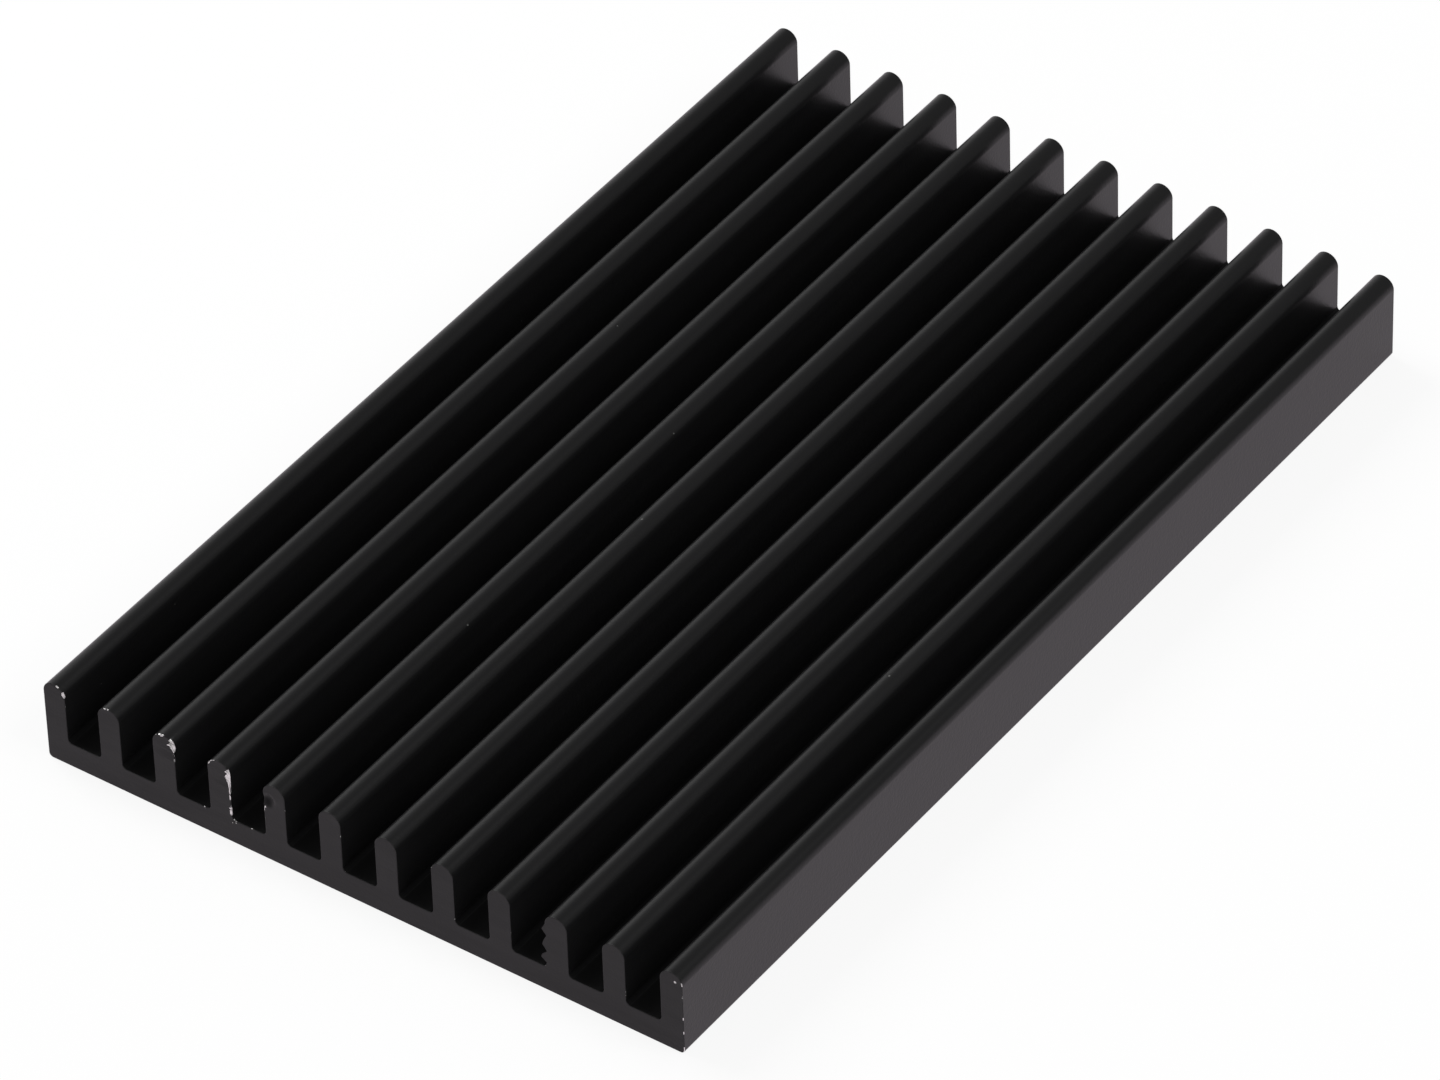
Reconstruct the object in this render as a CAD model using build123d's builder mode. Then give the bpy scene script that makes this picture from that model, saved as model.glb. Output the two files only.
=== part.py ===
"""Black anodised aluminium heat sink: a flat base that carries a comb of straight, round-tipped fins.

The real one is extruded as a long bar and sawn to length, so the model is one section, drawn in the
XZ plane and extruded along Y. The origin is the middle of the underside, +Z points from the base to
the fin tips, and the worn front end faces -Y. Fins are counted from 1 at the left, seen from the front.
"""

import os

from build123d import *

# Section of the extrusion, in millimetres
FIN_COUNT = 12
FIN_PITCH = 5.4
FIN_THICKNESS = 2.1
OVERALL_HEIGHT = 8.0
BASE_THICKNESS = 2.4
ROOT_RADIUS = 0.4
LOWER_EDGE_RADIUS = 0.4

# Sawn length
CUT_LENGTH = 100.0

# Dent knocked into the sawn front end of one fin, at the edge of its left flank
DENT_FIN = 5
DENT_BELOW_TIP = 1.85
DENT_RIM_RADIUS = 0.85
DENT_DEPTH = 0.25

# Torn burr that the saw left on the front edge of one fin's left flank: its depth along the fin, the
# width of flank that it takes up, and its ragged outline as (below the tip, out from the flank) points
BURR_FIN = 10
BURR_DEPTH = 0.5
BURR_ROOT = 0.4
BURR_OUTLINE = [
    (1.1, 0.0), (1.75, 0.35), (2.3, -0.1), (3.0, 0.25), (3.35, 0.33),
    (3.95, -0.1), (4.4, 0.4), (4.75, 0.5), (5.1, 0.0),
]

# Sizes that follow from those above
OVERALL_WIDTH = (FIN_COUNT - 1) * FIN_PITCH + FIN_THICKNESS
TIP_RADIUS = FIN_THICKNESS / 2
TIP_CENTRE_HEIGHT = OVERALL_HEIGHT - TIP_RADIUS
FRONT = -CUT_LENGTH / 2
DENT_RADIUS = (DENT_RIM_RADIUS**2 + DENT_DEPTH**2) / (2 * DENT_DEPTH)


def left_flank(fin):
    """X position of the left flank of a fin."""
    return -OVERALL_WIDTH / 2 + (fin - 1) * FIN_PITCH


with BuildPart() as heat_sink:
    # The section: a base strip, fins standing on it, and a full round on every fin
    with BuildSketch(Plane.XZ) as section:
        Rectangle(OVERALL_WIDTH, BASE_THICKNESS, align=(Align.CENTER, Align.MIN))
        with GridLocations(FIN_PITCH, 0, FIN_COUNT, 1):
            Rectangle(FIN_THICKNESS, TIP_CENTRE_HEIGHT, align=(Align.CENTER, Align.MIN))
        with Locations((0, TIP_CENTRE_HEIGHT)):
            with GridLocations(FIN_PITCH, 0, FIN_COUNT, 1):
                Circle(TIP_RADIUS)

        # The die rounds the roots of the channels and the two lower corners of the base
        channel_roots = section.vertices().group_by(Axis.Y)[1]
        fillet(channel_roots, ROOT_RADIUS)
        lower_corners = section.vertices().group_by(Axis.Y)[0]
        fillet(lower_corners, LOWER_EDGE_RADIUS)
    extrude(amount=CUT_LENGTH / 2, both=True)

    # The dent is a shallow round hollow in the sawn end, open at the flank
    dent_centre = FRONT + DENT_DEPTH - DENT_RADIUS
    with Locations((left_flank(DENT_FIN), dent_centre, OVERALL_HEIGHT - DENT_BELOW_TIP)):
        Sphere(DENT_RADIUS, mode=Mode.SUBTRACT)

    # The burr replaces a strip of the flank with its ragged outline
    burr_edge = [(left_flank(BURR_FIN) - out, OVERALL_HEIGHT - below) for below, out in BURR_OUTLINE]
    burr_back = left_flank(BURR_FIN) + BURR_ROOT
    burr_top = burr_edge[0][1]
    burr_bottom = burr_edge[-1][1]
    with BuildSketch(Plane.XZ.offset(-FRONT)) as strip:
        with Locations((left_flank(BURR_FIN), burr_bottom)):
            Rectangle(BURR_ROOT, burr_top - burr_bottom, align=(Align.MIN, Align.MIN))
    extrude(amount=-BURR_DEPTH, mode=Mode.SUBTRACT)
    with BuildSketch(Plane.XZ.offset(-FRONT)) as burr:
        Polygon((burr_back, burr_top), *burr_edge, (burr_back, burr_bottom), align=None)
    extrude(amount=-BURR_DEPTH)

heat_sink.part.label = "heat_sink"

os.makedirs("parts", exist_ok=True)
export_step(heat_sink.part, "parts/heat_sink.step")
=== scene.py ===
"""Looks of a black anodised heat sink: an extruded aluminium bar with straight fins, sawn to length."""

import math

import bmesh
import bpy
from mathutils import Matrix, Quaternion, Vector, noise


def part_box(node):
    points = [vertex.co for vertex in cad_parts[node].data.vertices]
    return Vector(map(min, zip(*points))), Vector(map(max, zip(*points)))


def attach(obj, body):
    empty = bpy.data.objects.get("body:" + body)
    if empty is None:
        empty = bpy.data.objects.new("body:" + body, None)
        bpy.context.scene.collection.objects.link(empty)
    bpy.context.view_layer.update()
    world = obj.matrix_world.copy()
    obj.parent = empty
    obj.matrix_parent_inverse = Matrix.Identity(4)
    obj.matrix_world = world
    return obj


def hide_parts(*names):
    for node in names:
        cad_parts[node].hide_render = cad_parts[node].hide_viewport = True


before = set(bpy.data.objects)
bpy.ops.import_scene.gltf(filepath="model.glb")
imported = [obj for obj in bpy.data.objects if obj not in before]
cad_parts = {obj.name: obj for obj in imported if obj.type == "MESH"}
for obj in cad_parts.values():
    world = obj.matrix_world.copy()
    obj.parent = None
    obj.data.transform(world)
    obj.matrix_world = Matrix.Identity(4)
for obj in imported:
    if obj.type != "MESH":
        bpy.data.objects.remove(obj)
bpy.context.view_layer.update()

# The extruded bar
# One length of aluminium profile, pressed hot through a die: a flat base with a comb of straight fins.
# The die leaves a full round on every fin tip and small fillets at the roots of the channels.
MM = 0.001
FIN_COUNT = 12
FIN_THICKNESS = 2.1 * MM
BASE_THICKNESS = 2.4 * MM
ROOT_RADIUS = 0.4 * MM
LOWER_EDGE_RADIUS = 0.4 * MM
TIP_FACETS = 24
ROOT_FACETS = 6
LOWER_EDGE_FACETS = 6
WELD = 0.0001 * MM
FLAT_WITHIN = math.radians(1)

bar_low, bar_high = (Vector(corner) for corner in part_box("heat_sink"))
WIDTH, LENGTH, HEIGHT = bar_high - bar_low
FLOOR_HEIGHT = bar_low.z + BASE_THICKNESS
FIN_PITCH = (WIDTH - FIN_THICKNESS) / (FIN_COUNT - 1)
TIP_RADIUS = FIN_THICKNESS / 2
TIP_CENTRE_HEIGHT = bar_high.z - TIP_RADIUS


def fin_middle(fin):
    """X of the middle of a fin, counted from 1 at the left as seen from the front."""
    return bar_low.x + TIP_RADIUS + (fin - 1) * FIN_PITCH


def long_edges(shape, height):
    """The edges that run the whole length of the bar at one height."""
    return [
        edge for edge in shape.edges
        if abs(edge.verts[0].co.y - edge.verts[1].co.y) > LENGTH / 2
        and all(abs(vert.co.z - height) < WELD for vert in edge.verts)
    ]


def round_edges(shape, edges, radius, facets):
    """Round edges to a radius."""
    bmesh.ops.bevel(
        shape, geom=edges, offset=radius, segments=facets, profile=0.5, affect="EDGES", material=-1
    )


def score(shape, faces, place, direction):
    """Cut faces along a plane, and give all the faces that they have become."""
    parts = dict.fromkeys(part for face in faces for part in (*face.verts, *face.edges, face))
    cut = bmesh.ops.bisect_plane(shape, geom=list(parts), dist=WELD, plane_co=place, plane_no=direction)
    made = [part for part in cut["geom"] if isinstance(part, bmesh.types.BMFace)]
    return list(dict.fromkeys([face for face in faces if face.is_valid] + made))


# The base strip is scored at every flank, and each fin is drawn up out of its own score
bar = bmesh.new()
bmesh.ops.create_cube(bar, size=1.0)
bmesh.ops.scale(bar, vec=(WIDTH, LENGTH, BASE_THICKNESS), verts=bar.verts)
bmesh.ops.translate(bar, vec=(0, 0, bar_low.z + BASE_THICKNESS / 2), verts=bar.verts)
flanks = [fin_middle(fin) + side * TIP_RADIUS for fin in range(1, FIN_COUNT + 1) for side in (-1, 1)]
for flank in flanks[1:-1]:
    score(bar, bar.faces[:], (flank, 0, 0), (1, 0, 0))
bar.normal_update()
strips = [face for face in bar.faces if face.normal.z > 0.9]
strips.sort(key=lambda face: face.calc_center_median().x)
fin_roots = strips[::2]
drawn = bmesh.ops.extrude_face_region(bar, geom=fin_roots)["geom"]
drawn_verts = [part for part in drawn if isinstance(part, bmesh.types.BMVert)]
bmesh.ops.translate(bar, vec=(0, 0, HEIGHT - BASE_THICKNESS), verts=drawn_verts)
bmesh.ops.delete(bar, geom=fin_roots, context="FACES_ONLY")
bmesh.ops.dissolve_limit(bar, angle_limit=FLAT_WITHIN, verts=bar.verts, edges=bar.edges)

# The die's rounds: tips, channel roots and the two long lower edges
round_edges(bar, long_edges(bar, bar_high.z), TIP_RADIUS, TIP_FACETS)
bmesh.ops.remove_doubles(bar, verts=bar.verts, dist=WELD)
round_edges(bar, long_edges(bar, FLOOR_HEIGHT), ROOT_RADIUS, ROOT_FACETS)
round_edges(bar, long_edges(bar, bar_low.z), LOWER_EDGE_RADIUS, LOWER_EDGE_FACETS)
bmesh.ops.recalc_face_normals(bar, faces=bar.faces)

# The sawn ends
# Both ends are sawn square before anodising, so they are black too. The saw leaves their edges nearly
# sharp, and on the front end those edges are rubbed to specks of bare metal.
FRONT = bar_low.y
SAWN_EDGE = 0.05 * MM
SAWN_EDGE_FACETS = 2
ROOT_TOP = FLOOR_HEIGHT + ROOT_RADIUS

# The bar's finishes, in the order of its material slots
EXTRUDED, ROOT, SAWN, RUBBED, SCRAPED, BARE = range(6)


def is_end(face):
    """Whether a face is one of the two sawn ends."""
    return abs(face.normal.y) > 0.99


def is_root(face):
    """Whether a face is in the fillet at a channel's root: low down, and neither upright nor level."""
    return 0.05 < face.normal.z < 0.95 and face.calc_center_median().z < ROOT_TOP


for face in bar.faces:
    face.material_index = SAWN if is_end(face) else ROOT if is_root(face) else EXTRUDED
end_edges = [edge for edge in bar.edges if sum(is_end(face) for face in edge.link_faces) == 1]
round_edges(bar, end_edges, SAWN_EDGE, SAWN_EDGE_FACETS)
bar.normal_update()
rim = [face for face in bar.faces if face.calc_center_median().y < FRONT + SAWN_EDGE and not is_end(face)]
for face in rim:
    face.material_index = RUBBED

# The knocked front end
# The fins' front edges have been struck. Chips on the left fins show bright metal, one fin is dented,
# and another still has a torn burr from the saw.
WORN_ZONE = 1.2 * MM
QUARTER_TIP = math.pi / 2 * TIP_RADIUS

# Chips are cut into rows, at shares of their reach, and steps round the fin, and are ragged from step to step
CHIP_ROWS = (0.4, 1.0)
CHIP_STEP = 0.1 * MM
CHIP_GRAIN = 8.0 / MM
CHIP_ROW_GRAIN = 3
RAGGED_DEPTH = 0.8
RAGGED_REACH = 0.4


def fin_skin(shape, fin):
    """The faces round a fin, clear of the channel roots, in the zone behind the sawn front end."""
    skin = []
    for face in shape.faces:
        middle = face.calc_center_median()
        on_fin = abs(middle.x - fin_middle(fin)) < TIP_RADIUS + WELD
        if on_fin and middle.z > ROOT_TOP and middle.y < FRONT + WORN_ZONE and not is_end(face):
            skin.append(face)
    return skin


def way_round(fin, place):
    """How far a place is from a fin's apex round its section, right being positive, and the way out there."""
    across = place.x - fin_middle(fin)
    above = place.z - TIP_CENTRE_HEIGHT
    if above >= 0:
        angle = math.atan2(across, above)
        return angle * TIP_RADIUS, Vector((math.sin(angle), 0, math.cos(angle)))
    side = math.copysign(1, across)
    return side * (QUARTER_TIP - above), Vector((side, 0, 0))


def depth_at(way, outline):
    """Depth of a worn outline at one place round the section, straight between its points."""
    for (start, deep), (end, deeper) in zip(outline, outline[1:]):
        if start <= way <= end:
            return deep + (deeper - deep) * (way - start) / (end - start)
    return 0.0


def wear(shape, fin, outline, reach, finish=None):
    """Knock the front edge of one fin out of line. The outline has (way round, depth) points from left to
    right, in millimetres as the reach along the fin is, and a negative depth stands out of the fin. The worn
    faces take a material as their finish, and bare metal is ragged."""
    outline = [(way * MM, depth * MM) for way, depth in outline]
    first, last = outline[0][0], outline[-1][0]
    reach = reach * MM
    skin = fin_skin(shape, fin)
    for share in CHIP_ROWS:
        skin = score(shape, skin, (0, FRONT + share * reach, 0), (0, 1, 0))
    ways = [way for way, depth in outline]
    ways += [first + step * CHIP_STEP for step in range(1, int((last - first) / CHIP_STEP))]
    for way in ways:
        if abs(way) > QUARTER_TIP:
            flank = [face for face in skin if way * (face.calc_center_median().x - fin_middle(fin)) > 0]
            clear = [face for face in skin if face not in flank]
            skin = clear + score(shape, flank, (0, 0, TIP_CENTRE_HEIGHT + QUARTER_TIP - abs(way)), (0, 0, 1))
    for vert in dict.fromkeys(vert for face in skin for vert in face.verts):
        way, outward = way_round(fin, vert.co)
        along = (vert.co.y - FRONT) / reach
        if first < way < last and along < 1 + WELD / reach:
            ragged = Vector((way * CHIP_GRAIN, fin, along * CHIP_ROW_GRAIN))
            rough = noise.noise(ragged) if finish == BARE else 0
            at_back = along > 0.9
            vert.co -= outward * depth_at(way, outline) * (1 + RAGGED_DEPTH * rough) * max(0, 1 - along)
            vert.co.y += RAGGED_REACH * abs(rough) * reach * at_back
    for face in skin:
        middle = face.calc_center_median()
        if finish is not None and first < way_round(fin, middle)[0] < last and middle.y < FRONT + reach:
            face.material_index = finish


def end_patch(shape, low, high, steps):
    """Cut a grid into a rectangle of the sawn front end, and give the faces in the rectangle."""
    shape.normal_update()
    patch = [face for face in shape.faces if face.normal.y < -0.99]
    for axis in (Vector((0, 0, 1)), Vector((1, 0, 0))):
        near, far = low.dot(axis), high.dot(axis)
        for step in range(steps + 1):
            patch = score(shape, patch, axis * (near + (far - near) * step / steps), axis)
        patch = [face for face in patch if near < face.calc_center_median().dot(axis) < far]
    return patch


def rub(shape, left, right, low, high, finish):
    """Rub the front rim to a finish inside a box, given in millimetres across and up."""
    across, up = Vector((1, 0, 0)), Vector((0, 0, 1))
    rubbed = [face for face in shape.faces if face.material_index == RUBBED]
    for axis, place in ((across, left), (across, right), (up, low), (up, high)):
        rubbed = score(shape, rubbed, axis * place * MM, axis)
    for face in rubbed:
        middle = face.calc_center_median() / MM
        if left < middle.x < right and low < middle.z < high:
            face.material_index = finish


score(bar, bar.faces[:], (0, FRONT + WORN_ZONE, 0), (0, 1, 0))
bar.normal_update()

# Chips, from the first fin to the fifth
wear(bar, 1, [(-0.35, 0), (-0.25, 0.03), (-0.1, 0.03), (0.0, 0)], reach=0.06, finish=SCRAPED)
wear(bar, 1, [(0.28, 0), (0.36, 0.06), (0.46, 0.06), (0.54, 0)], reach=0.07, finish=BARE)
wear(bar, 1, [(1.02, 0), (1.12, 0.13), (1.3, 0.17), (1.45, 0.11), (1.58, 0)], reach=0.12, finish=BARE)
wear(bar, 2, [(-0.4, 0), (-0.3, 0.03), (-0.2, 0)], reach=0.05, finish=SCRAPED)
wear(bar, 2, [(-0.1, 0), (-0.03, 0.05), (0.05, 0.05), (0.1, 0)], reach=0.06, finish=BARE)
wear(bar, 2, [(0.3, 0), (0.4, 0.03), (0.55, 0)], reach=0.05, finish=SCRAPED)
wear(bar, 3, [(-0.85, 0), (-0.8, 0.03), (-0.45, 0.03), (-0.4, 0)], reach=0.05, finish=SCRAPED)
wear(bar, 3, [(-0.4, 0), (-0.25, 0.1), (-0.1, 0.13), (0.0, 0.1), (0.1, 0)], reach=0.09, finish=BARE)
wear(
    bar, 3,
    [(0.68, 0), (0.74, 0.08), (0.8, 0), (0.94, 0), (0.98, 0.4), (1.08, 0.58), (1.16, 0.42), (1.3, 0.4),
     (1.45, 0.28), (1.6, 0.22), (1.75, 0.1), (1.85, 0.05), (1.95, 0)],
    reach=0.2, finish=BARE,
)
wear(bar, 3, [(1.95, 0), (2.05, 0.03), (2.9, 0.03), (3.0, 0)], reach=0.05, finish=SCRAPED)
wear(bar, 4, [(-1.32, 0), (-1.22, 0.07), (-1.05, 0.07), (-0.95, 0)], reach=0.06, finish=BARE)
wear(bar, 4, [(-0.95, 0), (-0.85, 0.02), (-0.4, 0.02), (-0.3, 0)], reach=0.02, finish=SCRAPED)
wear(
    bar, 4,
    [(1.12, 0), (1.2, 0.28), (1.32, 0.36), (1.43, 0.12), (1.55, 0.1), (1.7, 0.26), (1.95, 0.34), (2.2, 0.3),
     (2.35, 0.15), (2.6, 0.08), (2.9, 0.06), (3.15, 0.02), (3.3, 0.05), (3.45, 0.04), (3.55, 0)],
    reach=0.15, finish=BARE,
)
wear(bar, 4, [(3.55, 0), (3.65, 0.04), (4.9, 0.04), (5.0, 0)], reach=0.04, finish=SCRAPED)
wear(bar, 4, [(5.0, 0), (5.06, 0.15), (5.16, 0.13), (5.22, 0)], reach=0.09, finish=BARE)
wear(
    bar, 4, [(5.24, 0), (5.32, 0.1), (5.45, 0.15), (5.58, 0.08), (5.7, 0.14), (5.79, 0)],
    reach=0.09, finish=BARE,
)
wear(bar, 5, [(-5.7, 0), (-5.6, 0.03), (-3.3, 0.03), (-3.25, 0)], reach=0.05, finish=SCRAPED)
wear(bar, 5, [(-3.25, 0), (-3.18, 0.16), (-3.05, 0.16), (-2.98, 0)], reach=0.1, finish=BARE)

# Rubbed spots: at a channel root and floors, along the lower edge, and down the right corner
for left, right, low, high, finish in (
    (-12.3, -12.1, 2.42, 2.8, BARE), (-12.1, -11.75, 2.3, 2.5, SCRAPED), (-10.8, -10.3, 2.3, 2.5, SCRAPED),
    (-15.2, -15.1, 2.3, 2.5, SCRAPED), (-23.27, -23.13, -0.1, 0.2, BARE), (-15.05, -14.9, -0.1, 0.2, BARE),
    (30.6, 30.8, 5.4, 7.3, SCRAPED), (30.6, 30.8, 3.5, 3.75, BARE), (30.6, 30.8, 2.05, 2.3, SCRAPED),
    (30.5, 30.8, 0.15, 0.7, BARE),
):
    rub(bar, left, right, low, high, finish)

# The dent: a shallow bowl knocked into the sawn end, at the edge of the fin's left flank
DENT_FIN = 5
DENT_BELOW_TIP = 1.75 * MM
DENT_FROM_FLANK = 0.45 * MM
DENT_RADIUS = 0.8 * MM
DENT_DEPTH = 0.25 * MM
DENT_STEPS = 14
dent = Vector((fin_middle(DENT_FIN) - TIP_RADIUS + DENT_FROM_FLANK, FRONT, bar_high.z - DENT_BELOW_TIP))
dent_reach = Vector((DENT_RADIUS, 0, DENT_RADIUS))
knocked = end_patch(bar, dent - dent_reach, dent + dent_reach, DENT_STEPS)
beside = [face for face in fin_skin(bar, DENT_FIN) if face.calc_center_median().x < fin_middle(DENT_FIN)]
for step in range(DENT_STEPS + 1):
    height = dent.z + DENT_RADIUS * (2 * step / DENT_STEPS - 1)
    beside = score(bar, beside, (0, 0, height), (0, 0, 1))
for vert in dict.fromkeys(vert for face in knocked + beside for vert in face.verts):
    from_middle = Vector((vert.co.x - dent.x, 0, vert.co.z - dent.z)).length / DENT_RADIUS
    along = (vert.co.y - FRONT) / WORN_ZONE
    if from_middle < 1 and along < 1:
        vert.co.y += DENT_DEPTH * (1 - from_middle**2) ** 2 * (1 - along)

# The burr: ragged teeth torn out of a flank
BURR_FIN = 10
wear(
    bar, BURR_FIN,
    [(-5.7, 0), (-5.35, -0.5), (-5.0, -0.4), (-4.55, 0.1), (-3.95, -0.33), (-3.6, -0.25), (-2.9, 0.1),
     (-2.35, -0.35), (-1.7, 0)],
    reach=0.5,
)

# Spots picked out of the sawn face, down to the metal: one on the last fin, and two below a channel
PICK_DEPTH = 0.03 * MM
PICK_SLOPE = 0.5
for across, height, half in ((30.1, 7.13, 0.1), (-12.42, 2.08, 0.045), (-12.07, 2.2, 0.05)):
    spot = Vector((across * MM, 0, height * MM))
    reach = Vector((half * MM, 0, half * MM))
    patch = end_patch(bar, spot - reach, spot + reach, 1)
    picked = bmesh.ops.inset_individual(bar, faces=patch, thickness=PICK_SLOPE * half * MM, depth=-PICK_DEPTH)
    for face in patch + picked["faces"]:
        face.material_index = BARE

SMOOTH_BELOW = math.radians(20)
mesh = bpy.data.meshes.new("finned_bar")
bar.to_mesh(mesh)
bar.free()
mesh.shade_smooth()
mesh.set_sharp_from_angle(angle=SMOOTH_BELOW)
finned_bar = bpy.data.objects.new("finned_bar", mesh)
bpy.context.scene.collection.objects.link(finned_bar)
even = finned_bar.modifiers.new("even_shading", "WEIGHTED_NORMAL")
even.keep_sharp = True

# Black anodised finish
# The metal is etched to a fine grain, and its oxide skin is dyed black and clear on top: a dark satin that
# mirrors a bright table softly. Fine lines from the die run along the bar, the sawn ends and the channel
# roots are duller, and a little dust lies about, most of it on the tips.
ANODISE_DARK = (0.0068, 0.0067, 0.007, 1)
ANODISE_PALE = (0.0095, 0.0094, 0.0098, 1)
OXIDE_IOR = 1.3
GRAIN_HEIGHT = 0.012 * MM
GRAIN_SCALE = 4500.0

# Tool lines, per metre along X, Y and Z, and the range in which their tone mostly stays
DIE_LINES = (1500, 12, 1500)
SAW_LINES = (150, 150, 1500)
TONE_LOW, TONE_HIGH = 0.3, 0.7

# Dust gets less rare from the foot of the tips up
DUST_COLOUR = (0.12, 0.12, 0.115, 1)
DUST_SIZE = 0.06
DUSTY_FROM, DUSTY_TO = 7.0 * MM, 7.6 * MM
RARITY_BELOW, RARITY_ON_TIPS = 0.99, 0.95

# Where the Mix node has its colours
MIX_FIRST, MIX_SECOND, MIX_RESULT = 6, 7, 2


def add(tree, kind, links=(), **values):
    """Add a node. Values set its properties or, by socket name with _ for a space, its inputs."""
    node = tree.nodes.new(kind)
    for name, value in values.items():
        if hasattr(node, name):
            setattr(node, name, value)
        else:
            node.inputs[name.replace("_", " ")].default_value = value
    for socket, source in dict(links).items():
        tree.links.new(source, node.inputs[socket])
    return node


def mix_colours(tree, factor, first, second):
    """Mix two colours, each given as a value or as another node's output, and give the mixed colour."""
    node = add(tree, "ShaderNodeMix", {"Factor": factor}, data_type="RGBA")
    for socket, colour in ((node.inputs[MIX_FIRST], first), (node.inputs[MIX_SECOND], second)):
        if isinstance(colour, tuple):
            socket.default_value = colour
        else:
            tree.links.new(colour, socket)
    return node.outputs[MIX_RESULT]


def new_material(name):
    """A material with only a Principled BSDF and its output, and the BSDF's node."""
    material = bpy.data.materials.new(name)
    material.use_nodes = True
    tree = material.node_tree
    tree.nodes.clear()
    shader = add(tree, "ShaderNodeBsdfPrincipled")
    add(tree, "ShaderNodeOutputMaterial", {"Surface": shader.outputs["BSDF"]})
    return material, tree, shader


def new_group(name, inputs, outputs):
    """A node group with its own sockets, and its two end nodes."""
    group = bpy.data.node_groups.new(name, "ShaderNodeTree")
    for socket, kind in inputs.items():
        group.interface.new_socket(socket, in_out="INPUT", socket_type=kind)
    for socket, kind in outputs.items():
        group.interface.new_socket(socket, in_out="OUTPUT", socket_type=kind)
    return group, add(group, "NodeGroupInput").outputs, add(group, "NodeGroupOutput").inputs


# Lines left by a tool: a tone that varies from line to line, and their height
fine_lines, given, made = new_group(
    "fine_lines", {"Vector": "NodeSocketVector"}, {"Tone": "NodeSocketFloat", "Height": "NodeSocketFloat"}
)
stretched = {"Vector": given["Vector"]}
broad = add(fine_lines, "ShaderNodeTexNoise", stretched, Scale=1.0, Detail=3.0, Roughness=0.6)
fine = add(fine_lines, "ShaderNodeTexNoise", stretched, Scale=6.0, Detail=2.0, Roughness=0.6)
fine_lines.links.new(broad.outputs["Fac"], made["Tone"])
fine_lines.links.new(fine.outputs["Fac"], made["Height"])

# Sparse round specks: one to a cell, in cells that chance picks
specks, given, made = new_group(
    "specks",
    {"Vector": "NodeSocketVector", "Rarity": "NodeSocketFloat", "Size": "NodeSocketFloat"},
    {"Mask": "NodeSocketFloat"},
)
cells = add(specks, "ShaderNodeTexVoronoi", {"Vector": given["Vector"]}, Scale=1.0)
near = add(specks, "ShaderNodeMath", {0: cells.outputs["Distance"], 1: given["Size"]}, operation="LESS_THAN")
chance = add(specks, "ShaderNodeSeparateColor", {"Color": cells.outputs["Color"]})
rare = add(specks, "ShaderNodeMath", {0: chance.outputs["Red"], 1: given["Rarity"]}, operation="GREATER_THAN")
both = add(specks, "ShaderNodeMath", {0: near.outputs[0], 1: rare.outputs[0]}, operation="MULTIPLY")
specks.links.new(both.outputs[0], made["Mask"])


def anodised(name, line_scale, line_height, roughness, gleam, dust_scale):
    """Black anodised aluminium with tool lines. Roughness goes from the darkest lines to the palest, and dust
    scale is the cells per metre that may hold a speck."""
    material, tree, shader = new_material(name)
    place = add(tree, "ShaderNodeTexCoord").outputs["Object"]
    drawn_out = add(tree, "ShaderNodeMapping", {"Vector": place}, Scale=line_scale)
    lines = add(tree, "ShaderNodeGroup", {"Vector": drawn_out.outputs["Vector"]}, node_tree=fine_lines)
    skin = mix_colours(tree, lines.outputs["Tone"], ANODISE_DARK, ANODISE_PALE)
    gloss = add(
        tree, "ShaderNodeMapRange", {"Value": lines.outputs["Tone"]},
        From_Min=TONE_LOW, From_Max=TONE_HIGH, To_Min=roughness[0], To_Max=roughness[1],
    )

    scattered = add(tree, "ShaderNodeMapping", {"Vector": place}, Scale=(dust_scale, dust_scale, dust_scale))
    height = add(tree, "ShaderNodeSeparateXYZ", {"Vector": place}).outputs["Z"]
    rarity = add(
        tree, "ShaderNodeMapRange", {"Value": height},
        From_Min=DUSTY_FROM, From_Max=DUSTY_TO, To_Min=RARITY_BELOW, To_Max=RARITY_ON_TIPS,
    )
    strewn = {"Vector": scattered.outputs["Vector"], "Rarity": rarity.outputs["Result"]}
    dust = add(tree, "ShaderNodeGroup", strewn, node_tree=specks, Size=DUST_SIZE)
    dusty = mix_colours(tree, dust.outputs["Mask"], skin, DUST_COLOUR)

    lined = add(tree, "ShaderNodeBump", {"Height": lines.outputs["Height"]}, Distance=line_height)
    grain = add(tree, "ShaderNodeTexNoise", {"Vector": place}, Scale=GRAIN_SCALE, Detail=2.0, Roughness=0.5)
    etched = {"Height": grain.outputs["Fac"], "Normal": lined.outputs["Normal"]}
    relief = add(tree, "ShaderNodeBump", etched, Distance=GRAIN_HEIGHT)

    tree.links.new(dusty, shader.inputs["Base Color"])
    tree.links.new(gloss.outputs["Result"], shader.inputs["Roughness"])
    tree.links.new(relief.outputs["Normal"], shader.inputs["Normal"])
    shader.inputs["IOR"].default_value = OXIDE_IOR
    shader.inputs["Specular IOR Level"].default_value = gleam
    return material


extruded_skin = anodised(
    "extruded_black_anodise", DIE_LINES, line_height=0.0004 * MM, roughness=(0.3, 0.33), gleam=0.5,
    dust_scale=700,
)
root_skin = anodised(
    "root_black_anodise", DIE_LINES, line_height=0.0004 * MM, roughness=(0.55, 0.65), gleam=0.12,
    dust_scale=700,
)
sawn_skin = anodised(
    "sawn_black_anodise", SAW_LINES, line_height=0.0008 * MM, roughness=(0.42, 0.52), gleam=0.48,
    dust_scale=900,
)

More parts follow.
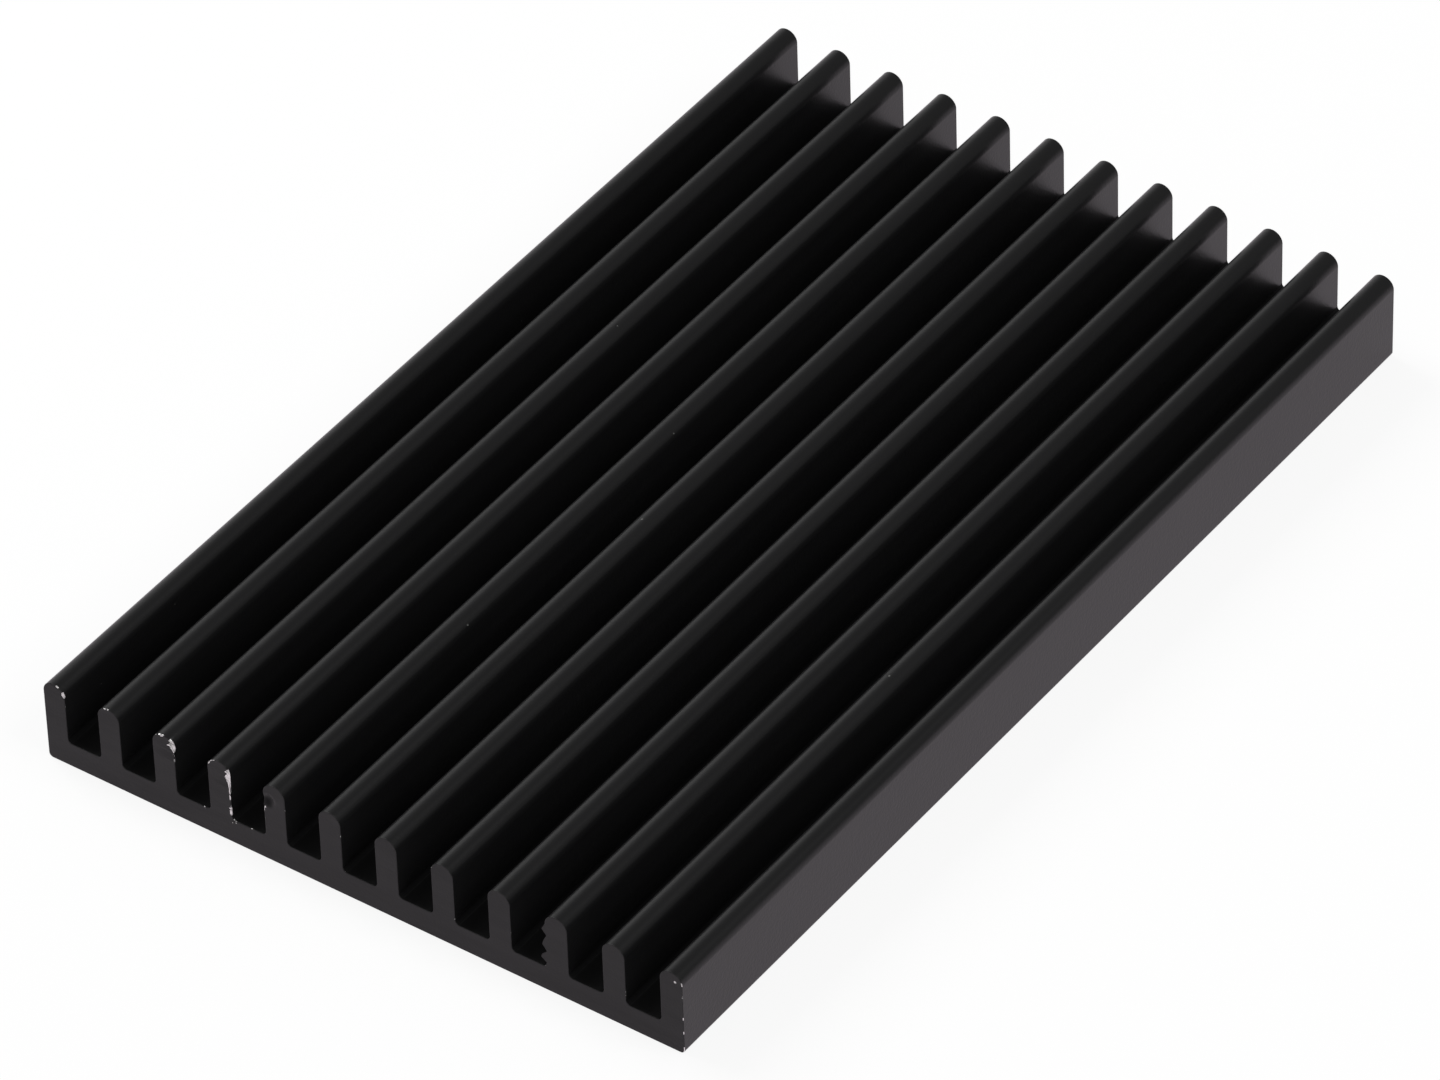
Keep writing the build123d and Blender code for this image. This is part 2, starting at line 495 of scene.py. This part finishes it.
# Painted shade in the dent: the sawn end is made partly metallic with its dark colour there, which dims its
# reflection, most over the middle and fading outwards
DENT_SHADE = 0.75
DENT_SHADE_CORE = 0.15 * MM
DENT_SHADE_RADIUS = 0.75 * MM
tree = sawn_skin.node_tree
shader = tree.nodes["Principled BSDF"]
place = add(tree, "ShaderNodeTexCoord").outputs["Object"]
away = add(tree, "ShaderNodeVectorMath", {0: place}, operation="DISTANCE")
away.inputs[1].default_value = dent
dent_shade = add(
    tree, "ShaderNodeMapRange", {"Value": away.outputs["Value"]}, interpolation_type="SMOOTHSTEP",
    From_Min=DENT_SHADE_CORE, From_Max=DENT_SHADE_RADIUS, To_Min=DENT_SHADE, To_Max=0.0,
)
# The metallic share paints the dent darker; it stands for shade, not for any soot on the metal
tree.links.new(dent_shade.outputs["Result"], shader.inputs["Metallic"])

# Bare metal
# Where the skin is knocked off, fresh aluminium shows: bright, crumbled and rough. On rubbed edges the
# metal shows only in specks, and on scraped ones over about half of the edge.
METAL_DULL = (0.4, 0.39, 0.38, 1)
METAL_BRIGHT = (1.0, 1.0, 0.99, 1)
METAL_ROUGHNESS = 0.45
CRUMBLE_HEIGHT = 0.03 * MM
CRUMBLE_SCALE = 6000.0

# Spots are bare where their noise is above a level, which a larger cover lowers
SPOT_SCALE = 1600.0
SPOT_LEVEL = 0.7
SPOT_LOWERING = 0.4
SPOT_EDGE = 0.05


def bare_metal(name, cover):
    """Aluminium that shows through the black skin over part of the surface: all of it where cover is 1."""
    material, tree, shader = new_material(name)
    place = add(tree, "ShaderNodeTexCoord").outputs["Object"]
    crumble = add(
        tree, "ShaderNodeTexNoise", {"Vector": place}, Scale=CRUMBLE_SCALE, Detail=4.0, Roughness=0.65
    )
    metal = mix_colours(tree, crumble.outputs["Fac"], METAL_DULL, METAL_BRIGHT)
    relief = add(tree, "ShaderNodeBump", {"Height": crumble.outputs["Fac"]}, Distance=CRUMBLE_HEIGHT)
    tree.links.new(relief.outputs["Normal"], shader.inputs["Normal"])
    shader.inputs["Roughness"].default_value = METAL_ROUGHNESS
    if cover == 1:
        shader.inputs["Metallic"].default_value = 1.0
        tree.links.new(metal, shader.inputs["Base Color"])
        return material
    spots = add(tree, "ShaderNodeTexNoise", {"Vector": place}, Scale=SPOT_SCALE, Detail=3.0, Roughness=0.6)
    level = SPOT_LEVEL - SPOT_LOWERING * cover
    mask = add(
        tree, "ShaderNodeMapRange", {"Value": spots.outputs["Fac"]},
        From_Min=level, From_Max=level + SPOT_EDGE,
    ).outputs["Result"]
    tree.links.new(mask, shader.inputs["Metallic"])
    tree.links.new(mix_colours(tree, mask, ANODISE_PALE, metal), shader.inputs["Base Color"])
    shader.inputs["IOR"].default_value = OXIDE_IOR
    return material


rubbed_edge = bare_metal("rubbed_edge", cover=0.1)
scraped_edge = bare_metal("scraped_edge", cover=0.52)
bare_aluminium = bare_metal("bare_aluminium", cover=1)
for finish in (extruded_skin, root_skin, sawn_skin, rubbed_edge, scraped_edge, bare_aluminium):
    mesh.materials.append(finish)
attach(finned_bar, "root")
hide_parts("heat_sink")

# The table
# A matt white board under the bar, much larger than the picture. It glows a little by itself, so it looks
# white all over and still keeps a faint shadow, and the bar mirrors it with a trace of pink.
TABLE_SIZE = 12.0
TABLE_PAINT = (0.95, 0.95, 0.95, 1)
TABLE_GLOW = 0.88
TABLE_SEEN = (1.0, 1.0, 1.0, 1)
TABLE_MIRRORED = (1.0, 0.91, 0.98, 1)
table_shape = bmesh.new()
bmesh.ops.create_grid(table_shape, x_segments=1, y_segments=1, size=TABLE_SIZE / 2)
table_mesh = bpy.data.meshes.new("table")
table_shape.to_mesh(table_mesh)
table_shape.free()
table = bpy.data.objects.new("table", table_mesh)
bpy.context.scene.collection.objects.link(table)

white = bpy.data.materials.new("white_table")
white.use_nodes = True
tree = white.node_tree
tree.nodes.clear()
path = add(tree, "ShaderNodeLightPath").outputs
mirrored = add(
    tree, "ShaderNodeMath", {0: path["Is Glossy Ray"], 1: path["Is Transmission Ray"]}, operation="MAXIMUM"
)
seen = add(tree, "ShaderNodeMath", {0: path["Is Camera Ray"], 1: mirrored.outputs[0]}, operation="MAXIMUM")
share = add(tree, "ShaderNodeMath", {0: seen.outputs[0]}, operation="MULTIPLY")
share.inputs[1].default_value = TABLE_GLOW
paint = add(tree, "ShaderNodeBsdfDiffuse", Color=TABLE_PAINT)
tone = mix_colours(tree, mirrored.outputs[0], TABLE_SEEN, TABLE_MIRRORED)
glow = add(tree, "ShaderNodeEmission", {"Color": tone}, Strength=1.0)
mixed = add(tree, "ShaderNodeMixShader", {0: share.outputs[0], 1: paint.outputs[0], 2: glow.outputs[0]})
add(tree, "ShaderNodeOutputMaterial", {"Surface": mixed.outputs[0]})
table_mesh.materials.append(white)

# Light and camera
# A grey room with a soft lamp high on either side, and a pale panel low at the back on the left, which the
# fin tips mirror. The camera looks down from the front right, a long way off.
ROOM_GREY = (0.33, 0.33, 0.33, 1)
CAMERA_PLACE = Vector((0.378429, -0.510733, 0.546392))
CAMERA_AIM = Vector((0.001001, -0.003223, 0.004))
CAMERA_ROLL = math.radians(-1.99)
CAMERA_LENS = 260.73
CAMERA_SENSOR = 36.0

# Each lamp's place and width in metres, and its power in watts
LAMPS = {
    "left_lamp": (Vector((-0.6, 0.05, 0.62)), 0.45, 4.6),
    "right_lamp": (Vector((0.55, 0.05, 0.65)), 0.45, 2.7),
    "back_panel": (Vector((-0.75, 0.6, 0.285)), 0.66, 0.64),
}

room = bpy.data.worlds.new("grey_room")
room.use_nodes = True
room.node_tree.nodes.clear()
air = add(room.node_tree, "ShaderNodeBackground", Color=ROOM_GREY, Strength=1.0)
add(room.node_tree, "ShaderNodeOutputWorld", {"Surface": air.outputs[0]})
bpy.context.scene.world = room

for name, (place, width, power) in LAMPS.items():
    light = bpy.data.lights.new(name, "AREA")
    light.shape = "SQUARE"
    light.size = width
    light.energy = power
    lamp = bpy.data.objects.new(name, light)
    lamp.location = place
    lamp.rotation_euler = (-place).to_track_quat("-Z", "Y").to_euler()
    lamp.visible_camera = False
    bpy.context.scene.collection.objects.link(lamp)

lens = bpy.data.cameras.new("camera")
lens.sensor_width = CAMERA_SENSOR
lens.sensor_fit = "HORIZONTAL"
lens.lens = CAMERA_LENS
camera = bpy.data.objects.new("camera", lens)
camera.location = CAMERA_PLACE
upright = (CAMERA_AIM - CAMERA_PLACE).to_track_quat("-Z", "Y")
camera.rotation_euler = (upright @ Quaternion((0, 0, 1), CAMERA_ROLL)).to_euler()
bpy.context.scene.collection.objects.link(camera)
bpy.context.scene.camera = camera
bpy.context.scene.view_settings.view_transform = "Standard"
